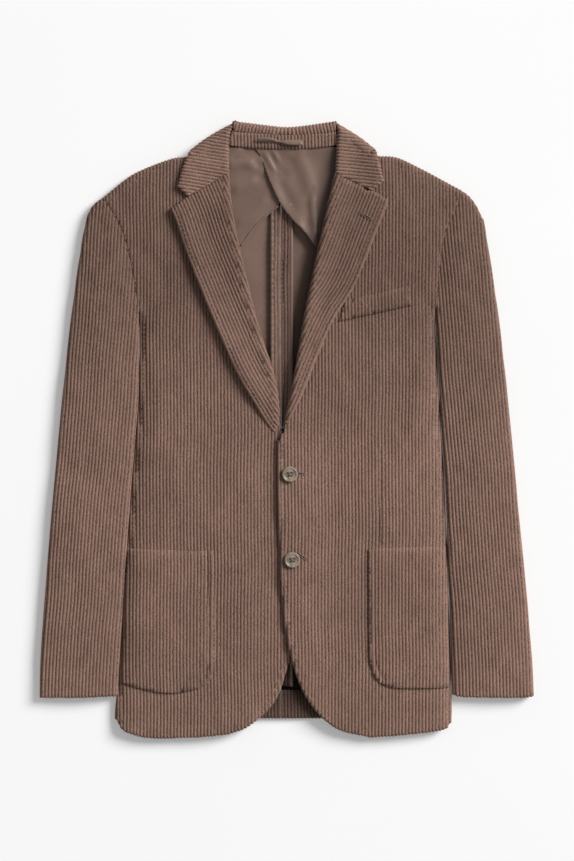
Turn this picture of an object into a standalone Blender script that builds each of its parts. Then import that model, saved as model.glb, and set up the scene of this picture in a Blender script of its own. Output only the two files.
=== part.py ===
"""A single-breasted corduroy jacket with patch pockets, laid out flat, front side up.

+Z is up, +Y runs from the hem to the collar and +X is the right-hand side of someone looking down on it. Lengths
are in millimetres until a mesh is made. Each piece of cloth is an outline as cut, drawn where it lies, that is
folded over at its edges by a rule, and is then given the thickness of its cloth.
"""

import math

import bmesh
import bpy
from mathutils import Vector
from mathutils.geometry import delaunay_2d_cdt

for old in list(bpy.data.objects):
    bpy.data.objects.remove(old, do_unlink=True)

MM = 0.001
GAP = 0.3

# Cloth
CORD = 1.8
COLLAR_CLOTH = 2.6
LAPEL_CLOTH = 3.4
LINING_CLOTH = 1.0
ALLOWANCE = 1.2

# Heights of the middle of each layer above the table
BACK_Z = CORD / 2
COLLAR_LIFT = COLLAR_CLOTH + GAP
ALLOWANCE_Z = CORD + GAP + ALLOWANCE / 2
LINING_Z = CORD + 2 * GAP + ALLOWANCE + LINING_CLOTH / 2
FRONT_Z = 6.2
BAND_Z = 9.5
HANGER_Z = 11.0
LAPEL_Z = FRONT_Z + CORD / 2 + GAP + LAPEL_CLOTH / 2
LEAF_Z = FRONT_Z + CORD / 2 + GAP + COLLAR_CLOTH / 2 + 0.5
OVERLAP_DROP = 1.1
OVERLAP_RISE = 1.0
SLEEVE_CROWN = 1.6
LAPEL_CURL = 3.0

# Widths
HEM_TURN = 37.0
UNDER_TURN = 10.0
EDGE_INSET = 2.0
HANGER_WIDTH = 6.0
MESH_STEP = 27.0
HALF_SEAM = GAP / 2
ARM_SEAM = 0.4
SHOULDER_END = 3.0
ARMPIT_END = 24.0

# Outlines, in plan. Left is the left of the picture that +X and +Y make.
CENTRE_X = -8.4
BACK_HEM_Y = -372.0
SHOULDER = {
    "left": [(-80, 366), (-104, 358), (-124, 352), (-149, 349.5), (-190, 334), (-211, 321), (-238, 299)],
    "right": [(68, 368), (92, 360), (112, 353), (140, 351), (171, 337), (192, 326), (225, 308)],
}
ARMHOLE = {
    "left": [(-238, 299), (-226, 281), (-213, 257), (-203, 221), (-196, 182), (-192, 150)],
    "right": [(225, 308), (213, 276), (204, 258), (198, 230), (194, 190), (192, 156)],
}
SIDE = {
    "left": [(-189, 148), (-187.5, 122), (-189.5, 39), (-200, -93), (-213.5, -290), (-218.5, -352)],
    "right": [(189, 154), (187.5, 128), (193, 39), (201, -93), (207, -271), (210, -352)],
}
FRONT_HEM = {
    "left": [(-219, -353), (-220, -372), (-211, -388), (-177, -397), (-118, -396), (-76, -392)],
    "right": [(210.5, -353), (210, -372), (203, -385), (176, -390), (130, -395), (106, -396)],
}
FRONT_EDGE = {
    "left": [(-76, -392), (-49, -381), (-17, -351), (-1, -310), (16, -250), (22, -150), (22, -60)],
    "right": [(106, -396), (60, -383), (23, -343), (2, -284), (-8, -210), (-13, -86), (-13, -18)],
}
BREAK = {
    "left": [(22, -60), (14, -36), (-5, -2)],
    "right": [(-13, -18), (-8, -4)],
}
ROLL = {
    "left": [(-5, -2), (-10, 22), (-17, 70), (-40, 144), (-65, 250), (-73, 300), (-75, 332)],
    "right": [(-8, -4), (7, 61), (23, 154), (44, 255), (58, 318), (61, 330)],
}
NECK = {
    "left": [(-75, 332), (-76, 352), (-80, 366)],
    "right": [(61, 330), (63, 352), (68, 368)],
}
GORGE = {
    "left": [(-75, 332), (-104, 313), (-129, 299.5)],
    "right": [(61, 330), (83, 319), (110, 307)],
}
LAPEL_TOP = {"left": [(-129, 299.5), (-150, 284)], "right": [(110, 307), (130, 295)]}
LAPEL_EDGE = {
    "left": [(-150, 284), (-141, 262), (-117, 194), (-71, 86), (-31, 15), (-17.5, -4.5)],
    "right": [(130, 295), (121, 271), (87, 187), (56, 135), (16, 38), (-2, 5), (-10.5, -13.5)],
}
SIDE_SEAM = {
    "left": [(-196, 188), (-170, 150), (-160, 60), (-158, -100), (-162, -374)],
    "right": [(193, 190), (170, 152), (160, 60), (156, -100), (158, -374)],
}
LAPEL_ROLL = {
    "left": [(-17, -4), (-14, 10), (-13, 30), (-19, 70), (-40, 144), (-65, 250), (-73, 300), (-75, 332)],
    "right": [(-11, -13), (-8, -4), (7, 61), (23, 154), (44, 255), (58, 318), (61, 330)],
}
SLEEVE_OUTER = {
    "left": [(-238, 299), (-252, 287), (-263, 252), (-282, 116), (-301, -77), (-317, -271), (-319, -346)],
    "right": [(225, 308), (243, 289), (253, 261), (275, 116), (295, -77), (313, -271), (317, -343)],
}
SLEEVE_INNER = {
    "left": [(-191.5, 148), (-191, 122), (-193, 39), (-203.5, -93), (-217, -290), (-221.5, -344)],
    "right": [(191.5, 154), (191, 128), (197, 39), (205, -93), (211, -271), (214, -344)],
}
COLLAR_TOP = [(-65, 397), (-25, 392), (-5, 390), (16, 391), (59, 397)]
STAND_SEAM = [(-62, 383), (-35, 381), (-5, 379), (29, 380), (56, 383)]
NECK_SEAM = [(-78, 366), (-45, 362), (-5, 361), (35, 362), (66, 367)]
COLLAR_SIDE = {
    "left": [(-65, 397), (-87, 386), (-108, 373), (-126, 359)],
    "right": [(59, 397), (73, 389), (94, 376), (114, 360)],
}
LEAF_EDGE = {
    "left": [(-126, 359), (-135, 337), (-142, 312), (-129, 300)],
    "right": [(114, 360), (119, 342), (124, 319), (110, 307.5)],
}
COLLAR_ROLL = {
    "left": [(-75, 332), (-75, 364), (-72, 386), (-65, 397)],
    "right": [(61, 330), (63, 364), (64, 386), (59, 397)],
}
FALL_EDGE = [(-126, 359), (-118, 352), (-60, 347), (-5, 346), (50, 347), (106, 353), (114, 360)]
LINING = {
    "left": [(-76, 361), (-45, 359.5), (2, 358.5), (4, 320), (-12, 289), (-44, 263), (-60, 238), (-108, 216), (-96, 300)],
    "right": [(63, 362), (-5, 359), (-41, 359.5), (-32, 341), (-11, 293), (9, 266), (36, 234), (96, 213), (88, 300)],
}
POCKET = {
    "left": [(-199, -152), (-139, -156), (-94, -156), (-94, -312), (-102, -331), (-146, -340), (-206, -334)],
    "right": [(105, -152), (197, -150), (201, -334), (140, -333), (113, -322), (105, -300)],
}
WELT = [(74, 166.5), (157, 185), (159, 160), (66, 139)]
BUTTONS = {"upper": (3, -57), "lower": (6, -167)}
BUTTON_RADIUS = 10.1
BUTTON_HEIGHT = 3.6
HANGER = [(-39, 372.5), (-24, 371.5), (-10, 369.5), (2, 371), (19, 372.5)]
ALLOWANCES = {"left": (-18.0, CENTRE_X - 0.4), "right": (CENTRE_X + 0.4, 3.0)}
ALLOWANCE_ENDS = (-330.0, 290.0)

COLOURS = {
    "corduroy": ((0.205, 0.122, 0.094), 0.9),
    "lining": ((0.17, 0.11, 0.085), 0.45),
    "tape": ((0.16, 0.10, 0.075), 0.5),
    "button": ((0.35, 0.29, 0.23), 0.35),
}


def material(slot):
    """The slot's own Principled material, made once."""
    found = bpy.data.materials.get(slot)
    if found:
        return found
    colour, roughness = COLOURS[slot]
    made = bpy.data.materials.new(slot)
    made.use_nodes = True
    shader = made.node_tree.nodes["Principled BSDF"]
    shader.inputs["Base Color"].default_value = (*colour, 1)
    shader.inputs["Roughness"].default_value = roughness
    shader.inputs["Metallic"].default_value = 0
    return made


def ramp(low, high, value):
    """0 up to low, 1 from high on, and smooth between."""
    share = min(max((value - low) / (high - low), 0), 1)
    return share * share * (3 - 2 * share)


def curve(points, step=MESH_STEP):
    """Points along a smooth line through the given ones, about step apart."""
    ends = [Vector(p) for p in points]
    ends = [2 * ends[0] - ends[1], *ends, 2 * ends[-1] - ends[-2]]
    found = []
    for a, b, c, d in zip(ends, ends[1:], ends[2:], ends[3:]):
        count = max(1, round((c - b).length / step))
        for i in range(count):
            t = i / count
            found.append(
                0.5 * (2 * b + (c - a) * t + (2 * a - 5 * b + 4 * c - d) * t**2 + (3 * b - a - 3 * c + d) * t**3)
            )
    return [*found, ends[-2]]


def straight(points, step=MESH_STEP):
    """Points about step apart along straight runs."""
    found = []
    for a, b in zip(points, points[1:]):
        a, b = Vector(a), Vector(b)
        count = max(1, round((b - a).length / step))
        found += [a.lerp(b, i / count) for i in range(count)]
    return [*found, Vector(points[-1])]


def joined(*runs):
    """One closed outline from runs that follow each other."""
    found = []
    for run in runs:
        for point in run:
            point = Vector(point)
            if not found or (point - found[-1]).length > 0.5:
                found.append(point)
    if (found[0] - found[-1]).length < 0.5:
        found.pop()
    return found


def shifted(line, distance):
    """The line moved sideways, to its left for a positive distance."""
    found = []
    for i, point in enumerate(line):
        before = line[max(i - 1, 0)]
        after = line[min(i + 1, len(line) - 1)]
        along = (after - before).normalized()
        found.append(point + Vector((-along.y, along.x)) * distance)
    return found


def shorter(line, amount):
    """The line without its first stretch, amount long."""
    line = list(line)
    while (line[1] - line[0]).length <= amount:
        amount -= (line[1] - line[0]).length
        line.pop(0)
    return [line[0] + (line[1] - line[0]).normalized() * amount, *line[1:]]


def inside(point, outline):
    """Whether the point is inside the closed outline."""
    odd = False
    for a, b in zip(outline, [*outline[1:], outline[0]]):
        if (a.y > point.y) != (b.y > point.y):
            if point.x < a.x + (point.y - a.y) / (b.y - a.y) * (b.x - a.x):
                odd = not odd
    return odd


def nearest(point, line):
    """The nearest point of an open line, and the direction of the line there."""
    best = None
    for a, b in zip(line, line[1:]):
        along = b - a
        share = min(max((point - a).dot(along) / along.length_squared, 0), 1)
        spot = a + along * share
        away = (point - spot).length
        if best is None or away < best[0] - 1e-9:
            best = (away, spot, along.normalized())
    return best


class Fold:
    """Cloth turned over along a line. The cloth that stays is on the line's left, and what is past the line goes
    round and lies at far_z, as far back as it was past it."""

    def __init__(self, line, near_z, far_z, reach=20.0):
        first = line[0] + (line[0] - line[1]).normalized() * reach
        last = line[-1] + (line[-1] - line[-2]).normalized() * reach
        self.core = line
        self.line = [first, *line, last]
        self.near_z = near_z
        self.far_z = far_z

    def measure(self, point):
        """Distance inside the line, the nearest spot, the way in and the radius there."""
        away, spot, along = nearest(point, self.line)
        way_in = Vector((-along.y, along.x))
        distance = math.copysign(away, (point - spot).dot(way_in))
        if away > 0.01:
            way_in = (point - spot) / distance
        near, far = self.near_z(*spot), self.far_z(*spot)
        return distance, spot, way_in, abs(near - far) / 2

    def place(self, point):
        """Where a point of the pattern lies, or None where the fold doesn't reach."""
        distance, spot, way_in, radius = self.measure(point)
        if distance >= radius:
            return None
        turn = (radius - distance) / radius
        near, far = self.near_z(*spot), self.far_z(*spot)
        if turn < math.pi:
            flat = spot + way_in * radius * (1 - math.sin(turn))
            return Vector((*flat, (near + far) / 2 + (near - far) / 2 * math.cos(turn)))
        flat = spot + way_in * radius * (1 + turn - math.pi)
        return Vector((*flat, self.far_z(*flat)))

    def pattern(self, plan):
        """The point of the pattern that comes to lie at this one, on the far layer."""
        distance, spot, way_in, radius = self.measure(plan)
        return spot + way_in * ((2 - math.pi) * radius - distance)

    def rows(self, count=5):
        """Lines of the pattern that follow the fold, evenly round it."""
        for i in range(count):
            turn = math.pi * i / (count - 1)
            row = []
            for spot, moved in zip(self.core, shifted(self.core, 1)):
                row.append(spot + (moved - spot) * self.measure(spot)[3] * (1 - turn))
            yield row


def with_bends(outline, folds, count=5):
    """The outline with a point more wherever it crosses one of the folds' rows."""
    found = []
    for a, b in zip(outline, [*outline[1:], outline[0]]):
        found.append(a)
        steps = math.ceil((b - a).length / 0.5)
        last = None
        for i in range(steps + 1 if folds else 0):
            spot = a.lerp(b, i / steps)
            distance, _, _, radius = min(folds, key=lambda item: nearest(spot, item.core)[0]).measure(spot)
            row = math.floor((1 - distance / radius) / math.pi * (count - 1))
            if last is not None and row != last and -1 <= min(row, last) <= count - 1 and 0 < i < steps:
                if (spot - found[-1]).length > 0.6 and (spot - b).length > 0.6:
                    found.append(spot)
            last = row
    return found


def spread(outline, height, folds, step):
    """The pattern's triangles, and where each corner lies, with the cloth's own normal there."""
    outline = with_bends(outline, folds)
    closed = [*outline, outline[0]]
    points = list(outline)
    for fold in folds:
        for row in fold.rows():
            points += [p for p in row if inside(p, outline) and nearest(p, closed)[0] > 1.2]
    xs, ys = [p.x for p in outline], [p.y for p in outline]
    for i in range(math.ceil((max(xs) - min(xs)) / step)):
        for j in range(math.ceil((max(ys) - min(ys)) / step)):
            spot = Vector((min(xs) + (i + 0.5) * step, min(ys) + (j + 0.5) * step))
            clear = all(nearest(spot, fold.core)[0] > step * 0.4 for fold in folds)
            if clear and inside(spot, outline) and nearest(spot, closed)[0] > step * 0.4:
                points.append(spot)
    loop = [(i, (i + 1) % len(outline)) for i in range(len(outline))]
    flat, _, faces, *_ = delaunay_2d_cdt(points, loop, [], 1, 0.01)

    def lay(spot):
        if folds:
            fold = min(folds, key=lambda item: nearest(spot, item.core)[0])
            found = fold.place(spot)
            if found:
                return found
        return Vector((*spot, height(*spot)))

    reach = 0.2
    across, up = Vector((reach, 0)), Vector((0, reach))
    laid = []
    for spot in flat:
        spot = Vector(spot)
        normal = (lay(spot + across) - lay(spot - across)).cross(lay(spot + up) - lay(spot - up))
        laid.append((lay(spot), normal.normalized()))
    return laid, faces


def add_object(name, shape, slot):
    """A closed mesh as an object with its slot's material."""
    mesh = bpy.data.meshes.new(name)
    shape.to_mesh(mesh)
    shape.free()
    mesh.materials.append(material(slot))
    made = bpy.data.objects.new(name, mesh)
    bpy.context.scene.collection.objects.link(made)
    return made


def cloth(name, slot, outline, height, thickness, folds=(), step=MESH_STEP):
    """A closed piece of cloth: the outline as cut, laid by its height and its folds, as thick as its cloth."""
    laid, faces = spread(outline, height, folds, step)
    shape = bmesh.new()
    tops = [shape.verts.new((p + n * thickness / 2) * MM) for p, n in laid]
    bottoms = [shape.verts.new((p - n * thickness / 2) * MM) for p, n in laid]
    edges = set()
    for a, b, c in faces:
        shape.faces.new((tops[a], tops[b], tops[c]))
        shape.faces.new((bottoms[c], bottoms[b], bottoms[a]))
        edges |= {(a, b), (b, c), (c, a)}
    for a, b in edges:
        if (b, a) not in edges:
            shape.faces.new((tops[b], tops[a], bottoms[a], bottoms[b]))
    return add_object(name, shape, slot)


def level(z):
    """A height function that stays at z."""
    return lambda x, y: z


def above(height, distance):
    """A height function that keeps its distance over another."""
    return lambda x, y: height(x, y) + distance


def lift(x, y):
    """How much the collar's fall, lying underneath, raises what is above it."""
    return COLLAR_LIFT * ramp(240, 340, y) * (1 - ramp(118, 195, abs(x)))


def back_z(x, y):
    return BACK_Z + lift(x, y)


def front_z(side):
    """The middle of a front. Where the fronts close, the left one lies lower and the right one over it."""

    def height(x, y):
        low = 1 - ramp(0, 60, y)
        if side == "left":
            return FRONT_Z + lift(x, y) - OVERLAP_DROP * ramp(-60, -22, x) * low
        return FRONT_Z + lift(x, y) + OVERLAP_RISE * (1 - ramp(30, 70, x)) * low

    return height


def inward(side):
    """1 where a line that runs down or outward has its piece on the line's left, and -1 on its right."""
    return 1 if side == "left" else -1


def fold_line(side, line):
    """The line turned so that its piece is on its left."""
    return line if side == "left" else line[::-1]


def front(side):
    """A front, wrapped round its side and its shoulder to the underside."""
    turn = inward(side)
    shoulder, flank, arm = curve(SHOULDER[side]), curve(SIDE[side]), curve(ARMHOLE[side])
    cut = -turn * (UNDER_TURN + (math.pi - 2) * (FRONT_Z - BACK_Z) / 2)
    past_armpit, past_hem = Vector((-turn * 225, 190)), Vector((-turn * 245, -384))
    base = front_z(side)
    folds = [
        Fold(fold_line(side, shoulder), base, back_z),
        Fold(fold_line(side, [past_armpit, *flank, past_hem]), base, level(BACK_Z)),
    ]
    outline = joined(
        shifted(curve(NECK[side]), turn * 2 * EDGE_INSET),
        shorter(shifted(shoulder, cut)[::-1], SHOULDER_END)[::-1],
        shifted(arm, turn * ARM_SEAM)[1:],
        shorter(shifted(flank, cut), ARMPIT_END),
        curve(FRONT_HEM[side]),
        curve(FRONT_EDGE[side]),
        curve(BREAK[side]),
        shifted(curve(ROLL[side]), turn * EDGE_INSET),
    )
    cloth(f"front_{side}", "corduroy", outline, base, CORD, folds)


def facing(side):
    """The lapel: facing and front sewn together, turned back over the front, with a curled outer edge."""
    edge = curve(LAPEL_EDGE[side])
    roll = curve(LAPEL_ROLL[side])
    flat = above(front_z(side), LAPEL_Z - FRONT_Z)

    def height(x, y):
        return flat(x, y) + LAPEL_CURL * (1 - ramp(0, 34, nearest(Vector((x, y)), edge)[0])) * ramp(10, 60, y)

    seam = [p - Vector((0, GAP)) for p in curve(GORGE[side])]
    outline = joined(roll[:-1], seam, straight(LAPEL_TOP[side])[1:], edge)
    cloth(f"facing_{side}", "corduroy", outline, height, LAPEL_CLOTH)


def back(side):
    """Half of the back, flat on the table, with its hem turned up inside."""
    turn = inward(side)
    centre = CENTRE_X - turn * HALF_SEAM
    shoulder = shifted(curve(SHOULDER[side]), turn * (UNDER_TURN + GAP))
    arm = [p + Vector((turn * GAP, 0)) for p in curve(ARMHOLE[side]) if 200 < p.y < 285]
    seam = [p + Vector((turn * HALF_SEAM, 0)) for p in curve(SIDE_SEAM[side])]
    radius = (CORD + GAP) / 2
    hem = straight([(seam[-1].x, BACK_HEM_Y), (centre, BACK_HEM_Y)])
    cut = HEM_TURN + (math.pi - 2) * radius
    fold = Fold(fold_line(side, hem), back_z, level(BACK_Z + 2 * radius))
    outline = joined(
        straight([(centre, 360.5), (-turn * 45, 360.5), (-turn * 58, 354)]),
        shoulder[1:-1],
        arm,
        seam[:-1],
        straight([hem[0], (hem[0].x, BACK_HEM_Y - cut), (centre, BACK_HEM_Y - cut), (centre, 360.5)], 40),
    )
    cloth(f"back_{side}", "corduroy", outline, back_z, CORD, [fold], 45)


def side_panel(side):
    """The panel under the arm, flat on the table between the back and the front's turned side."""
    turn = inward(side)
    seam = [p - Vector((turn * HALF_SEAM, 0)) for p in curve(SIDE_SEAM[side])]
    flank = shifted(curve(SIDE[side]), turn * (UNDER_TURN + 2))
    outline = joined(seam, [p for p in flank if -374 < p.y < 116][::-1], [(-turn * 172, 150)])
    cloth(f"side_{side}", "corduroy", outline, level(BACK_Z), CORD, (), 60)


def sleeve(side):
    """The top sleeve, wrapped round both edges to the underside, and the under sleeve between them."""
    turn = inward(side)
    outer, inner, arm = curve(SLEEVE_OUTER[side]), curve(SLEEVE_INNER[side]), curve(ARMHOLE[side])
    cut = turn * (UNDER_TURN + (math.pi - 2) * (FRONT_Z - BACK_Z) / 2)
    past_armpit = Vector((-turn * 155, 200))

    def height(x, y):
        spot = Vector((x, y))
        return FRONT_Z + SLEEVE_CROWN * ramp(0, 45, min(nearest(spot, rim)[0] for rim in (outer, inner)))

    folds = [
        Fold(fold_line(side, outer), height, level(BACK_Z)),
        Fold(fold_line(side, [past_armpit, *inner])[::-1], height, level(BACK_Z)),
    ]
    seam = shifted(arm, -turn * ARM_SEAM)
    outline = joined(
        shorter(shifted(outer, -cut), SHOULDER_END),
        shorter(shifted(inner, cut), ARMPIT_END)[::-1],
        seam[1:][::-1],
    )
    cloth(f"sleeve_top_{side}", "corduroy", outline, height, CORD, folds)
    room = turn * (UNDER_TURN + 1)
    seam = [p for p in seam if 190 < p.y < 280]
    outline = joined(shifted(outer, room)[2:], shifted(inner, -room)[::-1], seam[::-1])
    cloth(f"sleeve_under_{side}", "corduroy", outline, level(BACK_Z), CORD, (), 60)


def collar_fall():
    """The fall: under the back's neck, over the top as a band, and over both shoulders as the leaves."""
    under = COLLAR_CLOTH / 2
    top = curve(COLLAR_TOP)[::-1]
    band = Fold(top, level(under), level(BAND_Z))
    seam = [p + Vector((0, GAP)) for p in curve(STAND_SEAM)]
    leaves = {}
    sides = {}
    for side in ("left", "right"):
        line = curve(COLLAR_SIDE[side], 14)
        sides[side] = Fold(fold_line(side, line), level(under), lambda x, y: LEAF_Z + lift(x, y))
        edge = curve(LEAF_EDGE[side][:3], 14) + curve(LEAF_EDGE[side][2:], 14)
        plan = joined(edge, curve(GORGE[side], 14)[::-1], curve(COLLAR_ROLL[side], 14)[1:-1])
        leaves[side] = [sides[side].pattern(p) for p in plan]
    outline = joined(
        leaves["left"],
        [band.pattern(p) for p in seam],
        leaves["right"][::-1],
        curve(FALL_EDGE)[::-1][1:-1],
    )
    cloth("collar_fall", "corduroy", outline, level(under), COLLAR_CLOTH, [band, *sides.values()])


def collar_stand():
    """The standing band inside the neck."""
    outline = joined(curve(NECK_SEAM), [p - Vector((0, GAP)) for p in curve(STAND_SEAM)][::-1])
    low = LINING_Z + COLLAR_LIFT
    cloth("collar_stand", "corduroy", outline, lambda x, y: low + (BAND_Z - low) * ramp(355, 384, y), CORD)


def lining(side):
    """Half of the lining, the right one over the left one at the centre."""
    extra = LINING_CLOTH + GAP if side == "right" else 0
    outline = joined(curve([*LINING[side], LINING[side][0]]))
    cloth(
        f"lining_{side}",
        "lining",
        outline,
        lambda x, y: LINING_Z + lift(x, y) + extra * (1 - ramp(10, 45, x)),
        LINING_CLOTH,
    )


def allowance(side):
    """The seam allowance of the centre back seam, pressed open inside."""
    low, high = ALLOWANCE_ENDS
    left, right = ALLOWANCES[side]
    outline = joined(straight([(left, low), (right, low), (right, high), (left, high), (left, low)], 60))
    height = lambda x, y: ALLOWANCE_Z + lift(x, y)
    cloth(f"back_allowance_{side}", "corduroy", outline, height, ALLOWANCE, (), 60)


def pocket(side):
    """A patch pocket on a front."""
    outline = joined(straight([*POCKET[side], POCKET[side][0]]))
    cloth(f"pocket_{side}", "corduroy", outline, above(front_z(side), CORD + GAP), CORD)


def welt():
    """The slanted welt of the breast pocket."""
    outline = joined(straight([*WELT, WELT[0]]))
    cloth("breast_welt", "corduroy", outline, above(front_z("right"), CORD + GAP), CORD)


def hanger():
    """The tape loop at the neck."""
    middle = curve(HANGER, 14)
    outline = joined(shifted(middle, -HANGER_WIDTH / 2), shifted(middle, HANGER_WIDTH / 2)[::-1])
    cloth("hanger_loop", "tape", outline, level(HANGER_Z), LINING_CLOTH)


def button(name, spot):
    """A button with a raised rim, a dished face and four holes."""
    rim, dish, hole, ring = 2.2, 0.9, 0.95, 2.1
    profile = [
        (0, 0),
        (BUTTON_RADIUS - 2.4, 0),
        (BUTTON_RADIUS, 1.4),
        (BUTTON_RADIUS, BUTTON_HEIGHT - 0.9),
        (BUTTON_RADIUS - 0.9, BUTTON_HEIGHT),
        (BUTTON_RADIUS - rim, BUTTON_HEIGHT - 0.2),
        (BUTTON_RADIUS - rim - 1.2, BUTTON_HEIGHT - dish),
        (0, BUTTON_HEIGHT - dish),
    ]
    shape = bmesh.new()
    rail = [shape.verts.new((x * MM, 0, z * MM)) for x, z in profile]
    edges = [shape.edges.new(pair) for pair in zip(rail, rail[1:])]
    bmesh.ops.spin(
        shape, geom=rail + edges, cent=(0, 0, 0), axis=(0, 0, 1), angle=2 * math.pi, steps=24, use_merge=True
    )
    bmesh.ops.remove_doubles(shape, verts=shape.verts, dist=1e-6)
    bmesh.ops.recalc_face_normals(shape, faces=shape.faces)
    made = add_object(name, shape, "button")
    base = front_z("right")(*spot) + CORD / 2 + GAP
    made.location = Vector((*spot, base)) * MM
    for i in range(4):
        angle = math.pi / 4 + i * math.pi / 2
        at = Vector((math.cos(angle) * ring, math.sin(angle) * ring, BUTTON_HEIGHT / 2)) * MM
        bpy.ops.mesh.primitive_cylinder_add(vertices=10, radius=hole * MM, depth=0.02, location=at + made.location)
        cutter = bpy.context.object
        cutter.name = f"guide_{name}_{i}"
        cutter.hide_render = True
        cutter.display_type = "WIRE"
        cut = made.modifiers.new(f"hole_{i}", "BOOLEAN")
        cut.object = cutter
        cut.solver = "EXACT"


for each_side in ("left", "right"):
    front(each_side)
    facing(each_side)
    back(each_side)
    side_panel(each_side)
    sleeve(each_side)
    lining(each_side)
    allowance(each_side)
    pocket(each_side)
collar_fall()
collar_stand()
welt()
hanger()
for button_name, button_spot in BUTTONS.items():
    button(f"button_{button_name}", button_spot)
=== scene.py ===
"""Looks of a wide-wale corduroy jacket laid flat: every panel as cut, folded at its edges, with its wales as
real ridges. Lengths are in millimetres until a mesh is made. +X is right, +Y is towards the collar, +Z is up.
"""

import math

import bmesh
import bpy
import numpy as np
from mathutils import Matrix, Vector
from mathutils.geometry import delaunay_2d_cdt


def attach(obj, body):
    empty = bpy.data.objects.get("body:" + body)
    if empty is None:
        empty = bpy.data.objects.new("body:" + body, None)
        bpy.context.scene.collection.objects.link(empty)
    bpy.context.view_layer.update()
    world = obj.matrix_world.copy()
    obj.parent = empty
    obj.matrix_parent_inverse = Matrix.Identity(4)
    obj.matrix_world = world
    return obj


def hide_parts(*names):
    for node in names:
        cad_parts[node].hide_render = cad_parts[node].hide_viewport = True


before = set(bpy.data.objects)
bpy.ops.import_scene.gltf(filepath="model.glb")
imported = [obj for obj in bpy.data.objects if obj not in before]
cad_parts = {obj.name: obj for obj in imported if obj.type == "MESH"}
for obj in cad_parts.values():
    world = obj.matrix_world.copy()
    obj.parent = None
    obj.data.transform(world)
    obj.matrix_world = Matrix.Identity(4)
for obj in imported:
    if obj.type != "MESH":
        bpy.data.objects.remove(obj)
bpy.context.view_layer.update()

MM = 0.001

# Cloth, without the height of its wales
PITCH = 4.32  # from wale to wale
WALE = 1.3  # height of a wale
CORD = 1.6
LAPEL_CLOTH = 2.6
COLLAR_CLOTH = 2.0
ALLOWANCE_CLOTH = 1.2
ALLOWANCE_WALE = 0.9
SATIN = 0.8
TAPE = 0.9
BOUND_EDGE = 2.2
ROLL = 1.5  # radius of a turned edge
FLUSH = 1.8  # how far the wales stand out past a folded edge
UNDER_TURN = 10.0
HEM_TURN = 37.0
LEAST_CUT = 10.5  # the least width a cut's size is computed with

# Mesh
ROW = 6.0  # step along the wales
FOLD_ROW = 1.5  # the same where the cloth is folded
BATCH = 3000  # points measured at a time

# Heights of the middle of each layer, and how much each rises or drops
BACK_Z = 2.4
COLLAR_LIFT = 3.4
ALLOWANCE_Z = 4.9
LINING_Z = 8.4
FRONT_Z = 10.5
FRONT_DOME = 3.0
SIDE_DROP = 7.0
OVERLAP_DROP = 2.4
OVERLAP_RISE = 3.6
SLEEVE_DOME = 4.0
ARMHOLE_Z = 12.4
LAPEL_STEP = 3.6
BAND_Z = 16.0
LEAF_STEP = 3.9
POCKET_STEP = 3.1
ROLL_RISE = {"left": 0.6, "right": 4.9}
LAPEL_RISE = {"left": 5.0, "right": 3.0}
LINING_CURL = {"left": 0.6, "right": 3.2}

# Outlines and lines, in plan
CENTRE_X = -8.4
BACK_HEM_Y = -372.0
ALLOWANCE_EDGE = {"left": -20.0, "right": 5.0}
ALLOWANCE_ENDS = (-330, 290)
SHOULDER = {
    "left": [(-80, 366), (-104, 358), (-124, 352), (-149, 349.5), (-190, 334), (-211, 321), (-238, 299)],
    "right": [(68, 368), (92, 360), (112, 353), (140, 351), (171, 337), (192, 326), (225, 308)],
}
ARMHOLE = {
    "left": [(-238, 299), (-226, 281), (-213, 257), (-203, 221), (-196, 182), (-191, 150)],
    "right": [(225, 308), (213, 276), (204, 258), (198, 230), (194, 190), (191.5, 156)],
}
SIDE = {
    "left": [
        (-190, 149), (-189, 122), (-190.5, 39), (-201, -93), (-214.5, -290), (-219.5, -352), (-220.5, -371),
    ],
    "right": [(190, 155), (189, 128), (194, 39), (201.5, -93), (207.5, -271), (210, -352), (209.5, -375)],
}
FRONT_HEM = {
    "left": [(-220.5, -372), (-213, -386), (-200, -392), (-175, -397), (-118, -396), (-76, -392)],
    "right": [(209.5, -376), (206, -384), (188, -388.5), (143, -393.5), (106, -396)],
}
FRONT_EDGE = {
    "left": [(-76, -392), (-49, -381), (-17, -351), (-1, -310), (16, -250), (22, -150), (22, -60)],
    "right": [(106, -396), (60, -383), (23, -343), (2, -284), (-8, -210), (-13, -86), (-13, -18)],
}
BREAK = {"left": [(22, -60), (14, -36), (-5, -2)], "right": [(-13, -18), (-8, -4)]}
ROLL_LINE = {
    "left": [(-5, -2), (-10, 22), (-17, 70), (-40, 144), (-65, 250), (-73, 300), (-75, 332)],
    "right": [(-8, -4), (7, 61), (23, 154), (44, 255), (58, 318), (61, 330)],
}
NECK = {"left": [(-75, 332), (-76, 352), (-80, 366)], "right": [(61, 330), (63, 352), (68, 368)]}
GORGE = {"left": [(-75, 332), (-104, 313), (-129, 299.5)], "right": [(61, 330), (83, 319), (110, 307)]}
LAPEL_TOP = {"left": [(-129, 299.5), (-150, 284)], "right": [(110, 307), (130, 295)]}
LAPEL_EDGE = {
    "left": [(-150, 284), (-141, 262), (-117, 194), (-71, 86), (-31, 15), (-15, -7)],
    "right": [(130, 295), (121, 271), (87, 187), (56, 135), (16, 38), (-2, 5), (-12, -16)],
}
LAPEL_ROLL = {
    "left": [(-14, -7), (-10, 15), (-12, 42), (-17, 70), (-40, 144), (-65, 250), (-73, 300), (-75, 332)],
    "right": [(-11, -15), (-8, -4), (7, 61), (23, 154), (44, 255), (58, 318), (61, 330)],
}
SIDE_SEAM = {
    "left": [(-196, 188), (-170, 150), (-160, 60), (-158, -100), (-162, -374)],
    "right": [(193, 190), (170, 152), (160, 60), (156, -100), (158, -374)],
}
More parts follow.
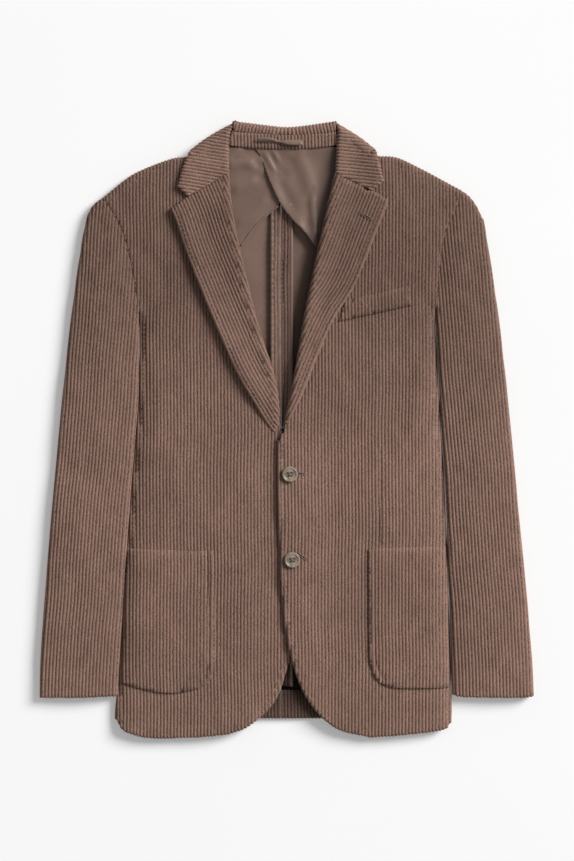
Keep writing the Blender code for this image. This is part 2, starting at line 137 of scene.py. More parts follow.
SLEEVE_OUTER = {
    "left": [(-238, 299), (-252, 287), (-263, 252), (-282, 116), (-301, -77), (-317, -271), (-319, -345)],
    "right": [
        (225, 308), (234, 301), (242.5, 290), (250, 274), (255, 257),
        (275, 120), (295, -77), (313, -271), (317, -342),
    ],
}
CUFF = {
    "left": [(-319, -345), (-268, -345), (-220, -343)],
    "right": [(317, -342), (304, -345), (225, -344), (214, -341)],
}
SLEEVE_INNER = {
    "left": [(-192, 149), (-192.5, 122), (-194, 39), (-204.5, -93), (-217, -290), (-220, -343)],
    "right": [(192.5, 155), (192.5, 128), (198, 39), (205.5, -93), (211.5, -271), (214, -341)],
}
COLLAR_TOP = [(-65, 397), (-25, 392), (-5, 390), (16, 391), (59, 397)]
STAND_SEAM = [(-71, 384), (-35, 381), (-5, 379), (29, 380), (62, 384)]
NECK_SEAM = [(-78, 366), (-45, 362), (-5, 361), (35, 362), (66, 367)]
COLLAR_SIDE = {
    "left": [(-65, 397), (-87, 386), (-108, 373), (-126, 359)],
    "right": [(59, 397), (73, 389), (94, 376), (114, 360)],
}
LEAF_EDGE = {
    "left": [(-126, 359), (-135, 337), (-142, 312)],
    "right": [(114, 360), (119, 342), (124, 319)],
}
NOTCH = {"left": [(-142, 312), (-129, 300)], "right": [(124, 319), (110, 307.5)]}
LEAF_GRAIN = {"left": math.radians(-99), "right": math.radians(85)}
LAPEL_SLANT = math.radians(24.7)
SLEEVE_SLANT = math.radians(3.75)
COLLAR_ROLL = {
    "left": [(-75, 332), (-75, 364), (-72, 386), (-65, 397)],
    "right": [(61, 330), (63, 364), (64, 386), (59, 397)],
}
FALL_EDGE = [(-126, 359), (-118, 352), (-60, 347), (-5, 346), (50, 347), (106, 353), (114, 360)]
LINING_EDGE = {
    "left": [(-12, 289), (-30, 274), (-44, 260), (-61, 237)],
    "right": [(-44, 366), (-32, 344), (-23.5, 321), (-10.5, 293), (5.5, 271), (20.5, 256), (33, 239)],
}
LINING_REST = {
    "left": [(-80, 225), (-92, 300), (-80, 364), (-45, 364), (2, 363.5), (4, 320)],
    "right": [(60, 215), (96, 213), (88, 300), (66, 364)],
}
LINING_CREASES = {
    "left": [
        ([(-84, 346), (-66, 358), (-52, 366)], 3.5, 2.4),
        ([(-84, 338), (-60, 344), (-36, 341)], 8, 4.0),
        ([(-76, 306), (-56, 314), (-34, 326)], 8, 2.4),
        ([(-70, 262), (-44, 280), (-20, 300)], 8, 1.6),
    ],
    "right": [
        ([(-33, 362), (-24, 346), (-13, 326)], 3.5, 1.8),
        ([(-22, 365), (-15, 352), (-7, 340)], 3, 1.5),
        ([(-6, 330), (10, 300), (22, 262)], 10, 2.0),
        ([(31, 312), (33, 276), (37, 240)], 5, 3.0),
        ([(8, 362), (24, 330), (30, 300)], 10, 2.4),
    ],
}
POCKET_TOP = {
    "left": [(-94.5, -155), (-139, -155), (-206, -152)],
    "right": [(204, -150), (150, -151), (104, -153)],
}
POCKET_INNER = {"left": [(-93.5, -300), (-94.5, -155)], "right": [(104, -153), (105, -292)]}
POCKET_BOTTOM = {
    "left": [(-213, -325), (-183, -334), (-152, -338.5), (-118, -333), (-99, -321), (-93.5, -300)],
    "right": [(105, -292), (111, -315), (125, -328), (147, -332), (178, -332), (207, -331)],
}
WELT = [(74, 166.5), (157, 185), (159, 160), (66, 139)]
BUTTONS = {"upper": (3, -57), "lower": (6, -167)}
BUTTON_PROFILE = [
    (0, 0), (7.7, 0), (9.6, 0.8), (10.1, 1.8), (9.9, 3.0),
    (9.2, 3.6), (8.2, 3.5), (7.2, 2.7), (6.0, 2.5), (0, 2.5),
]
BUTTON_FACE = 2.5
HOLE_RADIUS = 1.1
HOLE_RING = 2.9
BUTTONHOLES = {"upper": [(12, -55), (22.5, -57)], "lower": [(13.5, -159), (25, -166.5)]}
DART = np.array([(119, -28), (119, -148)], float)
FRONT_CREASES = {
    "left": [
        ([(-186, 120), (-168, 60), (-164, -20)], 9, 0.8),
        ([(-205, 250), (-176, 214), (-150, 196)], 12, -0.9),
        ([(-150, -200), (-120, -240), (-112, -290)], 16, 0.6),
    ],
    "right": [
        ([(186, 120), (168, 60), (160, -20)], 9, 0.8),
        ([(200, 256), (176, 226), (152, 210)], 12, -0.9),
        ([(60, 60), (100, 20), (150, 0)], 18, 0.6),
    ],
}
SLEEVE_CREASES = {
    "left": [
        ([(-262, 190), (-236, 176), (-205, 182)], 10, -1.0),
        ([(-285, 60), (-255, 46), (-222, 60)], 12, 0.8),
        ([(-300, -40), (-262, -60), (-215, -52)], 14, -0.9),
        ([(-300, -190), (-270, -176), (-236, -200)], 16, 0.7),
    ],
    "right": [
        ([(255, 196), (232, 180), (205, 186)], 10, -1.0),
        ([(280, 50), (250, 34), (218, 46)], 12, 0.8),
        ([(292, -50), (262, -76), (216, -64)], 14, -0.9),
        ([(300, -200), (268, -186), (234, -214)], 16, 0.7),
    ],
}
HANGER = [(-38.5, 372.5), (-22, 372), (-10, 370), (1, 369.2), (19.5, 369)]
LAPEL_HOLE = [(94, 278), (108.5, 270)]


# ---- plane geometry


def curve(points, step=6.0):
    """Points along a smooth line through the given ones, about step apart."""
    ends = np.array(points, float)
    ends = np.vstack([2 * ends[0] - ends[1], ends, 2 * ends[-1] - ends[-2]])
    found = []
    for a, b, c, d in zip(ends, ends[1:], ends[2:], ends[3:]):
        count = max(1, round(np.linalg.norm(c - b) / step))
        t = (np.arange(count) / count)[:, None]
        square, cube = 2 * a - 5 * b + 4 * c - d, 3 * b - a - 3 * c + d
        found.append(0.5 * (2 * b + (c - a) * t + square * t**2 + cube * t**3))
    return np.vstack([*found, ends[-2]])


def sideways(line):
    """The unit normals on the line's left."""
    along = np.gradient(line, axis=0)
    along /= np.linalg.norm(along, axis=1)[:, None]
    return np.column_stack([-along[:, 1], along[:, 0]])


def shifted(line, distance):
    return line + sideways(line) * distance


def shorter(line, amount):
    """The line without its first stretch, amount long."""
    run = np.concatenate([[0], np.cumsum(np.linalg.norm(np.diff(line, axis=0), axis=1))])
    keep = run > amount
    start = [np.interp(amount, run, line[:, i]) for i in (0, 1)]
    return np.vstack([start, line[keep]])


def measure(points, line):
    """Each point's distance from an open line, positive on its left, the nearest spot and the way left."""
    start, along = line[:-1], np.diff(line, axis=0)
    length = np.linalg.norm(along, axis=1)
    unit = along / length[:, None]
    spot, left = np.empty((len(points), 2)), np.empty((len(points), 2))
    for first in range(0, len(points), BATCH):
        part = slice(first, first + BATCH)
        x = points[part, :1] - start[:, 0]
        y = points[part, 1:] - start[:, 1]
        share = np.clip(x * unit[:, 0] + y * unit[:, 1], 0, length)
        gap = (x - unit[:, 0] * share) ** 2 + (y - unit[:, 1] * share) ** 2
        best = gap.argmin(1)
        spot[part] = start[best] + unit[best] * share[np.arange(len(best)), best][:, None]
        left[part] = np.column_stack([-unit[best, 1], unit[best, 0]])
    gap = np.linalg.norm(points - spot, axis=1)
    gap = np.where(((points - spot) * left).sum(1) < 0, -gap, gap)
    off = np.abs(gap) > 0.01
    left[off] = (points - spot)[off] / gap[off][:, None]
    return gap, spot, left


def near(points, line):
    """Distances from a line."""
    return np.abs(measure(points, line)[0])


def inside(row, outline):
    """Which points of a row, all at one y, are inside a closed outline."""
    a, b = outline, np.roll(outline, -1, axis=0)
    y = row[0, 1]
    crosses = (a[:, 1] > y) != (b[:, 1] > y)
    a, b = a[crosses], b[crosses]
    marks = a[:, 0] + (y - a[:, 1]) / (b[:, 1] - a[:, 1]) * (b[:, 0] - a[:, 0])
    return (marks[:, None] > row[:, 0]).sum(0) % 2 == 1


def off_border(points, outline, gap):
    """The points that aren't close to the outline."""
    closed = np.vstack([outline, outline[0]])
    length = np.linalg.norm(np.diff(closed, axis=0), axis=1)
    run = np.concatenate([[0], np.cumsum(length)])
    marks = np.arange(0, run[-1], gap / 2)
    dense = np.column_stack([np.interp(marks, run, closed[:, i]) for i in (0, 1)])
    around = [(a, b) for a in (-1, 0, 1) for b in (-1, 0, 1)]
    cells = {(i + a, j + b) for i, j in np.round(dense / gap).astype(int).tolist() for a, b in around}
    free = [(i, j) not in cells for i, j in np.round(points / gap).astype(int).tolist()]
    return points[np.array(free, bool)]


def ramp(low, high, value):
    """0 up to low, 1 from high on, and smooth between."""
    share = np.clip((value - low) / (high - low), 0, 1)
    return share * share * (3 - 2 * share)


def bump(distance, width):
    return np.exp(-((distance / width) ** 2))


def ripple(points, seed, size, amount):
    """Soft unevenness with waves about size long."""
    draw = np.random.default_rng(seed)
    total = np.zeros(len(points))
    for _ in range(7):
        angle, phase = draw.uniform(0, math.tau, 2)
        length = size * draw.uniform(0.7, 1.7)
        total += np.sin((points @ [math.cos(angle), math.sin(angle)]) * math.tau / length + phase)
    return total * amount / 2.6


# ---- cloth


class Fold:
    """Cloth turned over along a line, and set in so that its wales end there. What stays is on the line's
    left; the rest goes round to the far height."""

    def __init__(self, core, near_z, far_z, reach=20.0):
        first = core[0] + (core[0] - core[1]) / np.linalg.norm(core[0] - core[1]) * reach
        last = core[-1] + (core[-1] - core[-2]) / np.linalg.norm(core[-1] - core[-2]) * reach
        self.core, self.near_z, self.far_z = core, near_z, far_z
        self.line = np.vstack([first, core, last])

    def measured(self, points):
        distance, spot, left = measure(points, self.line)
        return distance - FLUSH, spot + left * FLUSH, left

    def radius(self, spot, left):
        return np.abs(self.near_z(spot + left * 2) - self.far_z(spot)) / 2

    def place(self, points):
        """Where the folded points lie, and which are folded."""
        distance, spot, left = self.measured(points)
        radius = self.radius(spot, left)
        turn = (radius - distance) / radius
        start, far = self.near_z(spot + left * radius[:, None]), self.far_z(spot)
        bent = turn < math.pi
        back = np.where(bent, 1 - np.sin(turn), 1 + turn - math.pi) * radius
        flat = spot + left * back[:, None]
        z = np.where(bent, (start + far) / 2 + (start - far) / 2 * np.cos(turn), self.far_z(flat))
        return np.column_stack([flat, z]), turn > 0

    def pattern(self, plan):
        """The points of the pattern that come to lie at these, on the far layer."""
        distance, spot, left = self.measured(plan)
        radius = self.radius(spot, left)
        return spot + left * ((2 - math.pi) * radius - distance)[:, None]


class Grain:
    """Which way the wales run: along the second axis of a turned frame, bent like a guide line."""

    def __init__(self, line=None, pitch=PITCH, seed=1, angle=0.0, row=ROW):
        self.pitch, self.seed, self.row = pitch, seed, row
        self.turned = np.array([[math.cos(angle), math.sin(angle)], [-math.sin(angle), math.cos(angle)]])
        guide = [(0, -500), (0, 500)] if line is None else np.array(line, float) @ self.turned.T
        guide = np.array(guide, float)
        guide = guide[guide[:, 1].argsort()]
        first, second, *_, third, last = guide if len(guide) > 3 else guide[[0, 1, 0, 1]]
        beyond = 900
        below = first + (first - second) / (second - first)[1] * beyond
        over = last + (last - third) / (last - third)[1] * beyond
        self.guide = np.vstack([below, guide, over])

    def centre(self, v):
        wander = 0.5 * np.sin(v / 31 + self.seed) + 0.2 * np.sin(v / 13.7 + 2 * self.seed)
        return np.interp(v, self.guide[:, 1], self.guide[:, 0]) + wander

    def weave(self, points):
        """How far points are across the wales and along them."""
        turned = points @ self.turned.T
        return np.column_stack([turned[:, 0] - self.centre(turned[:, 1]), turned[:, 1]])

    def across(self, points):
        return self.weave(points)[:, 0]

    def lattice(self, outline, folds):
        """Points on the wales' tops, sides and valleys, closer along them where the cloth is folded."""
        turned = outline @ self.turned.T
        u = self.across(outline)
        step = self.pitch / 4
        us = np.arange(math.floor(u.min() / step), math.ceil(u.max() / step)) * step
        low, high = turned[:, 1].min(), turned[:, 1].max()
        count = round(self.row / FOLD_ROW)
        sparse, close = [np.empty((0, 2))], [np.empty((0, 2))]
        for j in range(math.floor(low / FOLD_ROW), math.ceil(high / FOLD_ROW)):
            row = np.column_stack([us + self.centre(j * FOLD_ROW), np.full(len(us), j * FOLD_ROW)])
            (close if j % count else sparse).append(row[inside(row, turned)])
        sparse, close = np.vstack(sparse) @ self.turned, np.vstack(close) @ self.turned
        close = close[in_folds(close, folds)]
        return off_border(np.vstack([sparse, close]), outline, 0.4)


def in_folds(points, folds):
    """Which points are bent, or close to it."""
    found = np.zeros(len(points), bool)
    for fold in folds:
        distance, spot, left = measure(points, fold.core)
        radius = fold.radius(spot, left)
        found |= (distance < radius + FLUSH + 2) & (distance > FLUSH - math.pi * radius - 1)
    return found


def lay(points, height, folds):
    """Where points of the pattern lie."""
    laid = np.column_stack([points, height(points)])
    if folds:
        pick = np.argmin([near(points, fold.core) for fold in folds], axis=0)
        for i, fold in enumerate(folds):
            mine = np.flatnonzero(pick == i)
            if len(mine):
                place, folded = fold.place(points[mine])
                laid[mine[folded]] = place[folded]
    return laid


def laid_with_normals(points, height, folds):
    reach = 0.25
    ways = [np.array([reach, 0]), np.array([0, reach])]
    sides = [lay(points + way, height, folds) - lay(points - way, height, folds) for way in ways]
    normals = np.cross(*sides)
    normals /= np.linalg.norm(normals, axis=1)[:, None]
    return lay(points, height, folds), normals


def triangles(points, border):
    """Triangles between points, inside the border that the first ones make."""
    loop = [(i, (i + 1) % border) for i in range(border)]
    flat, _, faces, origins, *_ = delaunay_2d_cdt([tuple(p) for p in points], loop, [], 1, 1e-5)
    place = np.zeros(len(flat), int)
    for i, names in enumerate(origins):
        place[i] = names[0] if names else -1
    return [tuple(place[list(face)]) for face in faces if min(place[list(face)]) >= 0]


def border_points(outline, grain):
    """The outline with a point at each quarter wale, and at least each ROW."""
    found = []
    for a, b in zip(outline, np.roll(outline, -1, axis=0)):
        ends = grain.across(np.array([a, b])) / (grain.pitch / 4)
        low, high = sorted(ends)
        marks = np.arange(math.ceil(low), math.floor(high) + 1)
        crossed = len(marks) and abs(ends[1] - ends[0]) > 1e-6
        shares = (marks - ends[0]) / (ends[1] - ends[0]) if crossed else []
        count = math.ceil(np.linalg.norm(b - a) / ROW)
        shares = sorted({0.0, *(i / count for i in range(count)), *shares})
        for share in shares:
            spot = a + (b - a) * share
            if share < 1 and (not found or np.linalg.norm(spot - found[-1]) > 0.35):
                found.append(spot)
    return np.array(found)


def coarse(outline, folds, step=13.0, fine=2.2):
    """A sparse lattice for the smooth side."""
    low, high = outline.min(0), outline.max(0)
    xs, ys = (np.arange(low[i] + fine / 2, high[i], fine) for i in (0, 1))
    every = round(step / fine)
    rows = []
    for j, y in enumerate(ys):
        row = np.column_stack([xs, np.full(len(xs), y)])
        wide = (np.arange(len(xs)) % every == 0) & (j % every == 0)
        keep = inside(row, outline)
        rows.append(np.column_stack([row, wide])[keep])
    points = np.vstack(rows)
    points = points[(points[:, 2] > 0) | in_folds(points[:, :2], folds)][:, :2]
    return off_border(points, outline, 1.0)


def profile(u, pitch):
    """A wale's round top and narrow valley, from 0 to 1."""
    return (0.5 - 0.5 * np.cos(math.tau * u / pitch)) ** 0.5


def new_object(name, points, faces, materials):
    mesh = bpy.data.meshes.new(name)
    mesh.from_pydata([tuple(p) for p in np.asarray(points) * MM], [], faces)
    for item in materials:
        mesh.materials.append(item)
    made = bpy.data.objects.new(name, mesh)
    bpy.context.scene.collection.objects.link(made)
    return made


def cloth(name, outline, height, folds, grain, rests, thickness=CORD, wale=WALE, face=1, sides=None, **facts):
    """A closed piece of cloth, waled on one side and smooth on the other."""
    x, y = outline.T
    area = (np.dot(x, np.roll(y, -1)) - np.dot(y, np.roll(x, -1))) / 2
    outline = outline if area > 0 else outline[::-1]
    border = border_points(outline, grain)
    fine = np.vstack([border, grain.lattice(border, folds)])
    rough = np.vstack([border, coarse(border, folds)])
    count = len(border)
    laid, normals = laid_with_normals(fine, height, folds)
    rise = thickness / 2 + wale * profile(grain.across(fine), grain.pitch)
    outer = laid + face * normals * rise[:, None]
    laid, normals = laid_with_normals(rough, height, folds)
    inner = laid - face * normals * thickness / 2
    first = triangles(fine, count)
    second = triangles(rough, count)
    base = len(fine)
    rim = [(i, base + i, base + (i + 1) % count, (i + 1) % count) for i in range(count)]
    if face < 0:
        first = [f[::-1] for f in first]
        rim = [f[::-1] for f in rim]
    else:
        second = [f[::-1] for f in second]
    faces = first + [tuple(base + i for i in f) for f in second] + rim
    sides = sides or ("corduroy", "wrong_side")
    made = new_object(name, np.vstack([outer, inner]), faces, [MATERIALS[side] for side in sides])
    mesh = made.data
    flat = np.vstack([fine, rough])
    uv = grain.weave(flat) / [grain.pitch, 10]
    corner = np.zeros(len(mesh.loops), np.int32)
    mesh.loops.foreach_get("vertex_index", corner)
    layer = mesh.uv_layers.new(name="Weave")
    layer.data.foreach_set("uv", uv[corner].astype(np.float32).ravel())
    index = np.zeros(len(mesh.polygons), np.int32)
    index[len(first) : len(first) + len(second)] = 1
    mesh.polygons.foreach_set("material_index", index)
    mesh.polygons.foreach_set("use_smooth", np.ones(len(mesh.polygons), bool))
    mesh.update()
    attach(made, "root")
    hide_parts(facts.get("node", name))
    "corduroy" if sides[0] in ("collar", "back") else sides[0]
    size = tuple(map(float, np.maximum(np.ptp(grain.weave(outline), axis=0), LEAST_CUT) * MM))
    return made


# ---- materials


def add(tree, kind, inputs=None, **settings):
    """A shader node with its settings, and its inputs as values or as links."""
    node = tree.nodes.new(kind)
    for key, value in settings.items():
        setattr(node, key, value)
    for key, value in (inputs or {}).items():
        if isinstance(value, bpy.types.NodeSocket):
            tree.links.new(value, node.inputs[key])
        else:
            node.inputs[key].default_value = value
    return node


def maths(tree, operation, *values):
    return add(tree, "ShaderNodeMath", dict(enumerate(values)), operation=operation).outputs[0]


def product(tree, a, b):
    return maths(tree, "MULTIPLY", a, b)


def scaled(tree, colour, share):
    return add(tree, "ShaderNodeVectorMath", {0: colour, 3: share}, operation="SCALE").outputs[0]


def noise(tree, vector, scale, detail=3.0, rough=0.5):
    inputs = {"Vector": vector, "Scale": scale, "Detail": detail, "Roughness": rough}
    return add(tree, "ShaderNodeTexNoise", inputs).outputs["Fac"]


def ranged(tree, value, low, high, start=0.0, end=1.0):
    inputs = {"Value": value, "From Min": low, "From Max": high, "To Min": start, "To Max": end}
    return add(tree, "ShaderNodeMapRange", inputs).outputs[0]


def new_material(name, roughness, **fixed):
    made = bpy.data.materials.new(name)
    made.use_nodes = True
    shader = made.node_tree.nodes["Principled BSDF"]
    shader.inputs["Roughness"].default_value = roughness
    for key, value in fixed.items():
        shader.inputs[key.replace("_", " ")].default_value = value
    return made, made.node_tree, shader


def stretched(tree, across, along):
    """The weave's own coordinates, in wales and in centimetres, stretched."""
    weave = add(tree, "ShaderNodeUVMap", uv_map="Weave").outputs[0]
    factors = {0: weave, 1: (across, along, 0)}
    return add(tree, "ShaderNodeVectorMath", factors, operation="MULTIPLY").outputs[0]


def corduroy(name, ridge, valley, chest=1.0, turned_up=1.0):
    """Cotton pile: narrow valleys, darker partly as the cloth's own tone and partly as painted shade, brushed
    ridges with short tufts, and soft patches in how it lies. chest paints shade on it from the waist up.
    turned_up paints shade on the back's turned-up hem, and twice over above its fold, because the studio's
    light alone leaves it too pale between the fronts."""
    nap = {"Sheen_Weight": 0.25, "Sheen_Roughness": 0.45, "Specular_IOR_Level": 0.15}
    made, tree, shader = new_material(name, 0.92, **nap)
    shader.inputs["Sheen Tint"].default_value = (0.85, 0.62, 0.5, 1)
    split = add(tree, "ShaderNodeSeparateXYZ", {0: stretched(tree, 1, 1)})
    edge = noise(tree, stretched(tree, 1.1, 2.6), 1.0, 3)
    u = maths(tree, "ADD", split.outputs[0], ranged(tree, edge, 0.3, 0.7, -0.13, 0.13))
    share = maths(tree, "PINGPONG", u, 0.5)
    width = ranged(tree, noise(tree, stretched(tree, 0.9, 1.9), 1.0, 2), 0.3, 0.7, 0.12, 0.26)
    limits = {"Value": share, "From Min": 0.02, "From Max": width}
    top = add(tree, "ShaderNodeMapRange", limits, interpolation_type="SMOOTHSTEP")
    nubs = noise(tree, stretched(tree, 1.5, 4.2), 1.0, 3, 0.6)
    tufts = noise(tree, stretched(tree, 3.0, 11.0), 1.0, 3, 0.6)
    pile = maths(tree, "ADD", nubs, product(tree, tufts, 0.7))
    lay_of_pile = noise(tree, stretched(tree, 0.3, 0.4), 1.0, 3)
    where = add(tree, "ShaderNodeTexCoord").outputs["Object"]
    patches = noise(tree, where, 8.0, 3)
    # The valleys' darker colour: partly the cloth's own tone, partly painted shade.
    steps = {0: top.outputs[0], 6: (*valley, 1), 7: (*ridge, 1)}
    colour = add(tree, "ShaderNodeMix", steps, data_type="RGBA").outputs[2]
    shade = ranged(tree, pile, 0.5, 1.2, 0.68, 1.32)
    shade = product(tree, shade, ranged(tree, lay_of_pile, 0.3, 0.7, 0.9, 1.1))
    shade = product(tree, shade, ranged(tree, patches, 0.3, 0.7, 0.9, 1.1))
    _, up, high = add(tree, "ShaderNodeSeparateXYZ", {0: where}).outputs
    # Painted shade from the waist up.
    shade = product(tree, shade, ranged(tree, up, -0.02, 0.2, 1.0, chest))
    # Painted shade on the back's turned-up hem between the fronts, twice over above its fold.
    deep = ranged(tree, up, -0.372, -0.335, turned_up - 1, turned_up * turned_up - 1)
    inside_hem = product(tree, ranged(tree, high, 0.003, 0.005), ranged(tree, up, -0.2, -0.3))
    shade = product(tree, shade, maths(tree, "MULTIPLY_ADD", inside_hem, deep, 1.0))
    tree.links.new(scaled(tree, colour, shade), shader.inputs["Base Color"])
    bumps = add(tree, "ShaderNodeBump", {"Height": pile, "Strength": 0.7, "Distance": 0.0012})
    tree.links.new(bumps.outputs[0], shader.inputs["Normal"])
    return made


def plain_cloth(name, colour, roughness, across, along, strength, sheen, low=1.0, beside=1.0):
    """A fine woven cloth with threads both ways. low paints shade on it towards the hem and beside paints
    shade on it next to the right lapel's roll, because the studio's light alone leaves the jacket's inside too
    pale there."""
    made, tree, shader = new_material(name, roughness, Sheen_Weight=sheen, Specular_IOR_Level=0.3)
    warp = noise(tree, stretched(tree, across, along * 0.1), 1.0, 2)
    weft = noise(tree, stretched(tree, across * 0.1, along), 1.0, 2)
    threads = maths(tree, "ADD", warp, weft)
    where = add(tree, "ShaderNodeTexCoord").outputs["Object"]
    shade = ranged(tree, threads, 0.7, 1.3, 0.88, 1.12)
    shade = product(tree, shade, ranged(tree, noise(tree, where, 25.0), 0.3, 0.7, 0.93, 1.07))
    right, up, _ = add(tree, "ShaderNodeSeparateXYZ", {0: where}).outputs
    # Painted shade towards the hem.
    shade = product(tree, shade, ranged(tree, up, -0.28, -0.1, low, 1.0))
    # Painted shade beside the right lapel's roll.
    (low_x, low_y), (high_x, high_y) = np.array([ROLL_LINE["right"][1], ROLL_LINE["right"][4]]) * MM
    slope = (high_x - low_x) / (high_y - low_y)
    lapel_x = maths(tree, "MULTIPLY_ADD", up, slope, low_x - slope * low_y)
    from_lapel = maths(tree, "SUBTRACT", lapel_x, right)
    shade = product(tree, shade, ranged(tree, from_lapel, 0.0, 0.024, beside, 1.0))
    tree.links.new(scaled(tree, colour, shade), shader.inputs["Base Color"])
    bumps = add(tree, "ShaderNodeBump", {"Height": threads, "Strength": strength, "Distance": 0.0002})
    tree.links.new(bumps.outputs[0], shader.inputs["Normal"])
    return made


def horn(name):
    """Pale, clouded horn."""
    made, tree, shader = new_material(name, 0.3, Specular_IOR_Level=0.5)
    where = add(tree, "ShaderNodeTexCoord").outputs["Object"]
    clouds = noise(tree, where, 160.0, 4, 0.6)
    ramp_node = add(tree, "ShaderNodeValToRGB", {"Fac": clouds})
    ramp_node.color_ramp.elements[0].position = 0.35
    ramp_node.color_ramp.elements[0].color = (0.12, 0.09, 0.067, 1)
    ramp_node.color_ramp.elements[1].position = 0.65
    ramp_node.color_ramp.elements[1].color = (0.35, 0.29, 0.22, 1)
    tree.links.new(ramp_node.outputs[0], shader.inputs["Base Color"])
    tree.links.new(ranged(tree, clouds, 0.3, 0.7, 0.25, 0.4), shader.inputs["Roughness"])
    return made


def floor_material():
    """A pale surface that glows a little, which keeps the shadows on it pale."""
    made, tree, shader = new_material("floor", 0.9, Emission_Color=(1, 1, 1, 1), Emission_Strength=0.22)
    where = add(tree, "ShaderNodeTexCoord").outputs["Object"]
    shade = ranged(tree, noise(tree, where, 3.0), 0.3, 0.7, 0.985, 1.0)
    tree.links.new(scaled(tree, (0.75, 0.75, 0.75), shade), shader.inputs["Base Color"])
    return made


def dark(name):
    """Painted shade: a nearly black surface that stands in for the shade inside holes."""
    made, _, shader = new_material(name, 0.9, Specular_IOR_Level=0.1)
    shader.inputs["Base Color"].default_value = (0.02, 0.014, 0.011, 1)
    return made


MATERIALS = {
    # The main corduroy, with painted shade from the waist up.
    "corduroy": corduroy("corduroy", (0.256, 0.155, 0.12), (0.076, 0.044, 0.033), 0.76),
    # The back's corduroy: the painted chest shade, and painted shade on its turned-up hem.
    "back": corduroy("corduroy_back", (0.256, 0.155, 0.12), (0.076, 0.044, 0.033), 0.76, 0.5),
    # The collar's copy, left out of the painted chest shade.
    "collar": corduroy("corduroy_collar", (0.246, 0.15, 0.116), (0.076, 0.044, 0.033)),
    # The jacket's inside: painted shade towards the hem and beside the right lapel's roll.
    "wrong_side": plain_cloth("wrong_side", (0.2, 0.124, 0.097), 0.85, 6, 14, 0.4, 0.1, 0.15, 0.3),
    # Painted shade beside the right lapel's roll.
    "lining": plain_cloth("lining", (0.18, 0.115, 0.09), 0.38, 12, 30, 0.2, 0.2, 1.0, 0.35),
    "tape": plain_cloth("tape", (0.2, 0.13, 0.1), 0.4, 9, 20, 0.3, 0.2),
    "binding": plain_cloth("binding", (0.17, 0.11, 0.085), 0.5, 9, 20, 0.3, 0.2),
    "thread": plain_cloth("thread", (0.19, 0.12, 0.095), 0.6, 9, 20, 0.3, 0.2),
    # The insides of holes: painted shade.
    "hole": dark("hole"),
    "button": horn("horn"),
}


def tube(name, path, z, radius, finish, squash=1.0, twist=0.0, sides=8):
    """A closed tube along a path, such as a thread or a bound edge, pulled in at every turn of its thread."""
    spots = np.column_stack([path, z])
    way = sideways(path)
    run = np.concatenate([[0], np.cumsum(np.linalg.norm(np.diff(path, axis=0), axis=1))])
    pull = 0.16 * np.cos(math.tau * run / twist) if twist else np.zeros(len(path))
    size = radius * (1 + pull)
    angles = np.arange(sides) * math.tau / sides
    rings = []
    for spot, aside, wide in zip(spots, way, size):
        ring = spot + np.outer(np.cos(angles) * wide, [*aside, 0])
        rings.append(ring + np.outer(np.sin(angles) * wide * squash, [0, 0, 1]))
    faces = [tuple(range(sides))[::-1], tuple((len(path) - 1) * sides + i for i in range(sides))]
    for i in range(len(path) - 1):
        for k in range(sides):
            a, b = i * sides + k, i * sides + (k + 1) % sides
            faces.append((a, b, b + sides, a + sides))
    made = new_object(name, np.vstack(rings), [f[::-1] for f in faces], [MATERIALS[finish]])
    shape = bmesh.new()
    shape.from_mesh(made.data)
    bmesh.ops.recalc_face_normals(shape, faces=shape.faces)
    shape.to_mesh(made.data)
    shape.free()
    made.data.shade_smooth()
    uv = made.data.uv_layers.new(name="Weave")
    uv.data.foreach_set("uv", np.zeros(2 * len(made.data.loops), np.float32))
    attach(made, "root")
    return made


# ---- the jacket


def lift(points):
    """How much the collar's fall, lying underneath, raises what is above it."""
    return COLLAR_LIFT * ramp(240, 340, points[:, 1]) * (1 - ramp(118, 195, np.abs(points[:, 0])))


def level(z):
    return lambda points: np.full(len(points), float(z))


def above(height, distance):
    return lambda points: height(points) + distance


def back_z(points):
    return BACK_Z + lift(points)


def crease(points, line, width, rise):
    """A soft ridge along a line, fading out at its ends."""
    line = curve(line, 10)
    ends = np.minimum(*(np.linalg.norm(points - end, axis=1) for end in (line[0], line[-1])))
    return rise * bump(near(points, line), width) * ramp(0, 14, ends)


def to_seam(z, away, height, width=11.0):
    """A height brought to a seam's own, with the stitching's shallow groove."""
    share = bump(away, width)
    return z * (1 - share) + height * share - 0.4 * bump(away, 1.6)


def front_z(side):
    """A front's middle: rounded off at its side and shoulder, and drawn in along the armhole seam."""
    flank, shoulder = curve(SIDE[side], 20), curve(SHOULDER[side], 20)
    arm = curve(ARMHOLE[side], 12)
    seed = 3 if side == "left" else 4

    def height(points):
        x, y = points.T
        low = 1 - ramp(0, 60, y)
        z = FRONT_Z + FRONT_DOME - SIDE_DROP * np.exp(-near(points, flank) / 9)
        z -= FRONT_DOME * np.exp(-near(points, shoulder) / 22)
        z += ripple(points, seed, 110, 0.5) + ripple(points, seed + 10, 45, 0.2)
        z += sum(crease(points, *facts) for facts in FRONT_CREASES[side])
        z = to_seam(z, near(points, arm), ARMHOLE_Z) + lift(points)
        z -= 2.5 * ramp(270, 340, y) * (1 - ramp(80, 125, np.abs(x)))
        if side == "left":
            return z - OVERLAP_DROP * ramp(-60, -18, x) * low
        return z + OVERLAP_RISE * (1 - ramp(16, 70, x)) * low - 0.6 * bump(near(points, DART), 1.3)

    return height


FRONT = {side: front_z(side) for side in ("left", "right")}
TURN = {"left": 1, "right": -1}
BACK = ("back", "wrong_side")
COLLAR = ("collar", "wrong_side")
FALL = {"sides": COLLAR, "thickness": COLLAR_CLOTH, "held": "folded"}


